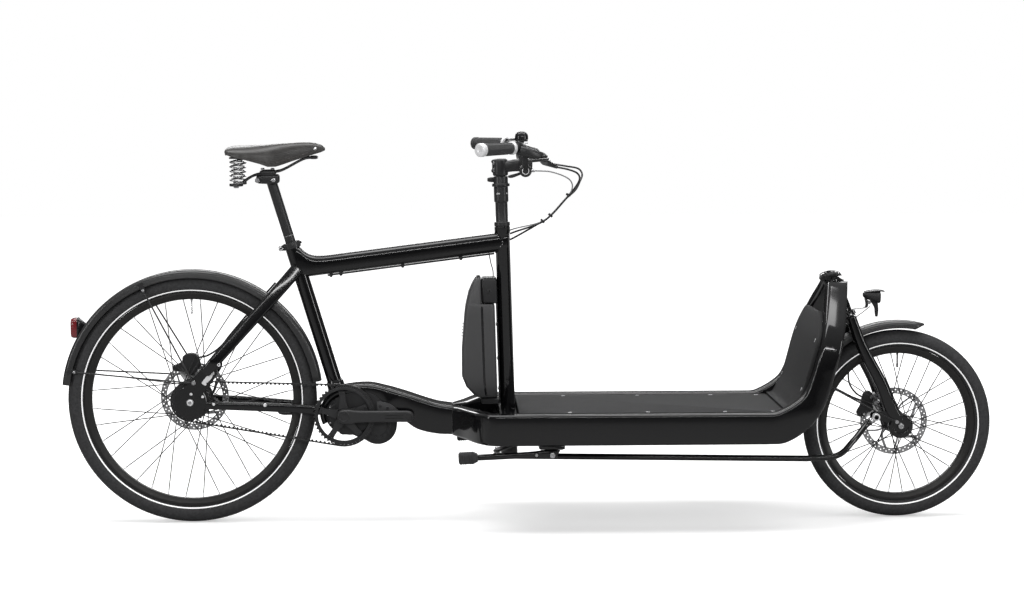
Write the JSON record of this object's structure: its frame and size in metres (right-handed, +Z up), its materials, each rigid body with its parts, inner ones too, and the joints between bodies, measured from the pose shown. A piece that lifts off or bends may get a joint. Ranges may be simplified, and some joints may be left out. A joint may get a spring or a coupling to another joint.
{
  "type": "front-loading cargo bike",
  "caption": "Front-loading cargo bicycle with a flat deck between a small front wheel and a rear wheel, mid motor, belt drive and linkage steering.",
  "frame": {"origin": "on the ground under the middle of the bike's length and width", "axes": "+X forward, +Y to the rider's left, +Z up; the wheels stand on Z = 0"},
  "size_m": [2.4555, 0.6894, 1.031],
  "materials": {
    "frame_paint": "gloss",
    "satin_metal": "satin",
    "black_plastic": "satin",
    "deck_grey": "matt",
    "tyre_rubber": "matt",
    "belt_rubber": "matt",
    "steel": "satin",
    "chrome": "polished",
    "grip_rubber": "matt",
    "leather": "satin",
    "lens_red": "gloss"
  },
  "bodies": {
    "frame": {"seat_tube": "frame_paint", "top_tube": "frame_paint", "head_column": "frame_paint", "boom": "frame_paint", "rail_right": "frame_paint", "rail_left": "frame_paint", "front_head_tube": "frame_paint", "chain_stay_right": "frame_paint", "chain_stay_left": "frame_paint", "seat_stay_right": "frame_paint", "seat_stay_left": "frame_paint", "deck_board": "deck_grey", "front_board": "deck_grey", "motor": "satin_metal", "battery_dock": "black_plastic", "rear_fender": "black_plastic", "tail_light": "lens_red", "rear_caliper": "satin_metal", "rear_brake_hose": "belt_rubber", "kickstand_bracket": "frame_paint", "seat_collar": "satin_metal", "strap_bundle": "black_plastic", "belt": "belt_rubber", "rear_axle": "steel"},
    "rear_wheel_body": {"rear_tyre": "tyre_rubber", "rear_wheel": "satin_metal", "rear_rotor": "steel"},
    "rear_sprocket_body": {"rear_sprocket": "satin_metal"},
    "crank": {"crank_arm_right": "satin_metal", "crank_arm_left": "satin_metal", "front_sprocket": "satin_metal"},
    "steering": {"steering_shaft": "satin_metal", "steering_arm": "satin_metal"},
    "bars": {"stem": "satin_metal", "handlebar": "satin_metal", "grip_right": "grip_rubber", "grip_left": "grip_rubber", "brake_body_right": "satin_metal", "brake_body_left": "satin_metal", "bell": "satin_metal", "control_hoses": "belt_rubber"},
    "right_brake_lever": {"brake_lever_right": "satin_metal"},
    "left_brake_lever": {"brake_lever_left": "satin_metal"},
    "gear_lever": {"shift_lever": "satin_metal"},
    "fork_body": {"fork": "frame_paint", "front_fender": "black_plastic", "front_caliper": "satin_metal", "headlight": "black_plastic"},
    "front_wheel_body": {"front_tyre": "tyre_rubber", "front_wheel": "satin_metal", "front_rotor": "steel"},
    "rod": {"steering_rod": "frame_paint"},
    "stand": {"kickstand": "frame_paint"},
    "post": {"seatpost": "satin_metal", "saddle_frame": "satin_metal", "spring_right": "chrome", "spring_left": "chrome"},
    "saddle": {"saddle_leather": "leather"},
    "seat_lever": {"seat_clamp_lever": "satin_metal"},
    "battery_pack": {"battery": "black_plastic"}
  },
  "joints": [
    {"name": "rear_wheel_spin", "type": "hinge", "parent": "frame", "child": "rear_wheel_body", "pos_m": [-0.887, 0, 0.3265], "axis": [0, 1, 0], "continuous": true},
    {"name": "crank_spin", "type": "hinge", "parent": "frame", "child": "crank", "pos_m": [-0.48862, 0, 0.2865], "axis": [0, 1, 0], "continuous": true, "deforming": ["belt"]},
    {"name": "rear_sprocket_spin", "type": "hinge", "parent": "frame", "child": "rear_sprocket_body", "pos_m": [-0.887, 0, 0.3265], "axis": [0, 1, 0], "continuous": true},
    {"name": "steering_turn", "type": "hinge", "parent": "frame", "child": "steering", "pos_m": [-0.0477, 0, 0], "axis": [-0.03, 0, 0.9995], "range_deg": [-28, 28]},
    {"name": "fork_turn", "type": "hinge", "parent": "frame", "child": "fork_body", "pos_m": [0.95574, 0, 0.24084], "axis": [-0.3665, 0, 0.9304], "range_deg": [-28, 28]},
    {"name": "rod_pivot", "type": "hinge", "parent": "steering", "child": "rod", "pos_m": [-0.08714, -0.076, 0.181], "axis": [-0.03, 0, 0.9995], "range_deg": [-28, 28]},
    {"name": "front_wheel_spin", "type": "hinge", "parent": "fork_body", "child": "front_wheel_body", "pos_m": [0.979, 0, 0.25], "axis": [0, 1, 0], "continuous": true},
    {"name": "bar_height", "type": "slide", "parent": "steering", "child": "bars", "axis": [-0.03, 0, 0.9995], "range_m": [0, 0.08], "deforming": ["control_hoses"]},
    {"name": "right_brake_pull", "type": "hinge", "parent": "bars", "child": "right_brake_lever", "pos_m": [0.03, -0.2, 0.962], "axis": [0, 0, -1], "range_deg": [0, 18], "stiffness_Nm_per_rad": 1},
    {"name": "left_brake_pull", "type": "hinge", "parent": "bars", "child": "left_brake_lever", "pos_m": [0.03, 0.2, 0.962], "axis": [0, 0, 1], "range_deg": [0, 18], "stiffness_Nm_per_rad": 1},
    {"name": "gear_push", "type": "hinge", "parent": "bars", "child": "gear_lever", "pos_m": [-0.016, -0.1477, 0.93], "axis": [0, -1, 0], "range_deg": [0, 30], "stiffness_Nm_per_rad": 0.5},
    {"name": "stand_swing", "type": "hinge", "parent": "frame", "child": "stand", "pos_m": [0.05, 0, 0.205], "axis": [0, -1, 0], "range_deg": [0, 100]},
    {"name": "post_height", "type": "slide", "parent": "frame", "child": "post", "axis": [-0.2907, 0, 0.9568], "range_m": [-0.12, 0.08]},
    {"name": "saddle_flex", "type": "hinge", "parent": "post", "child": "saddle", "pos_m": [-0.5634, 0, 0.967], "axis": [0, -1, 0], "range_deg": [0, 4], "stiffness_Nm_per_rad": 1500, "deforming": ["spring_right", "spring_left"]},
    {"name": "seat_lever_open", "type": "hinge", "parent": "frame", "child": "seat_lever", "pos_m": [-0.65126, 0.0175, 0.72203], "axis": [-0.2907, 0, 0.9568], "range_deg": [0, 120]},
    {"name": "battery_tilt", "type": "hinge", "parent": "frame", "child": "battery_pack", "pos_m": [-0.1146, 0, 0.329], "axis": [0, -1, 0], "range_deg": [0, 12]}
  ],
  "couplings": [
    {"joint": "rear_sprocket_spin", "follows": "crank_spin", "ratio": 1.5333},
    {"joint": "fork_turn", "follows": "steering_turn", "ratio": 1},
    {"joint": "rod_pivot", "follows": "steering_turn", "ratio": -1}
  ]
}
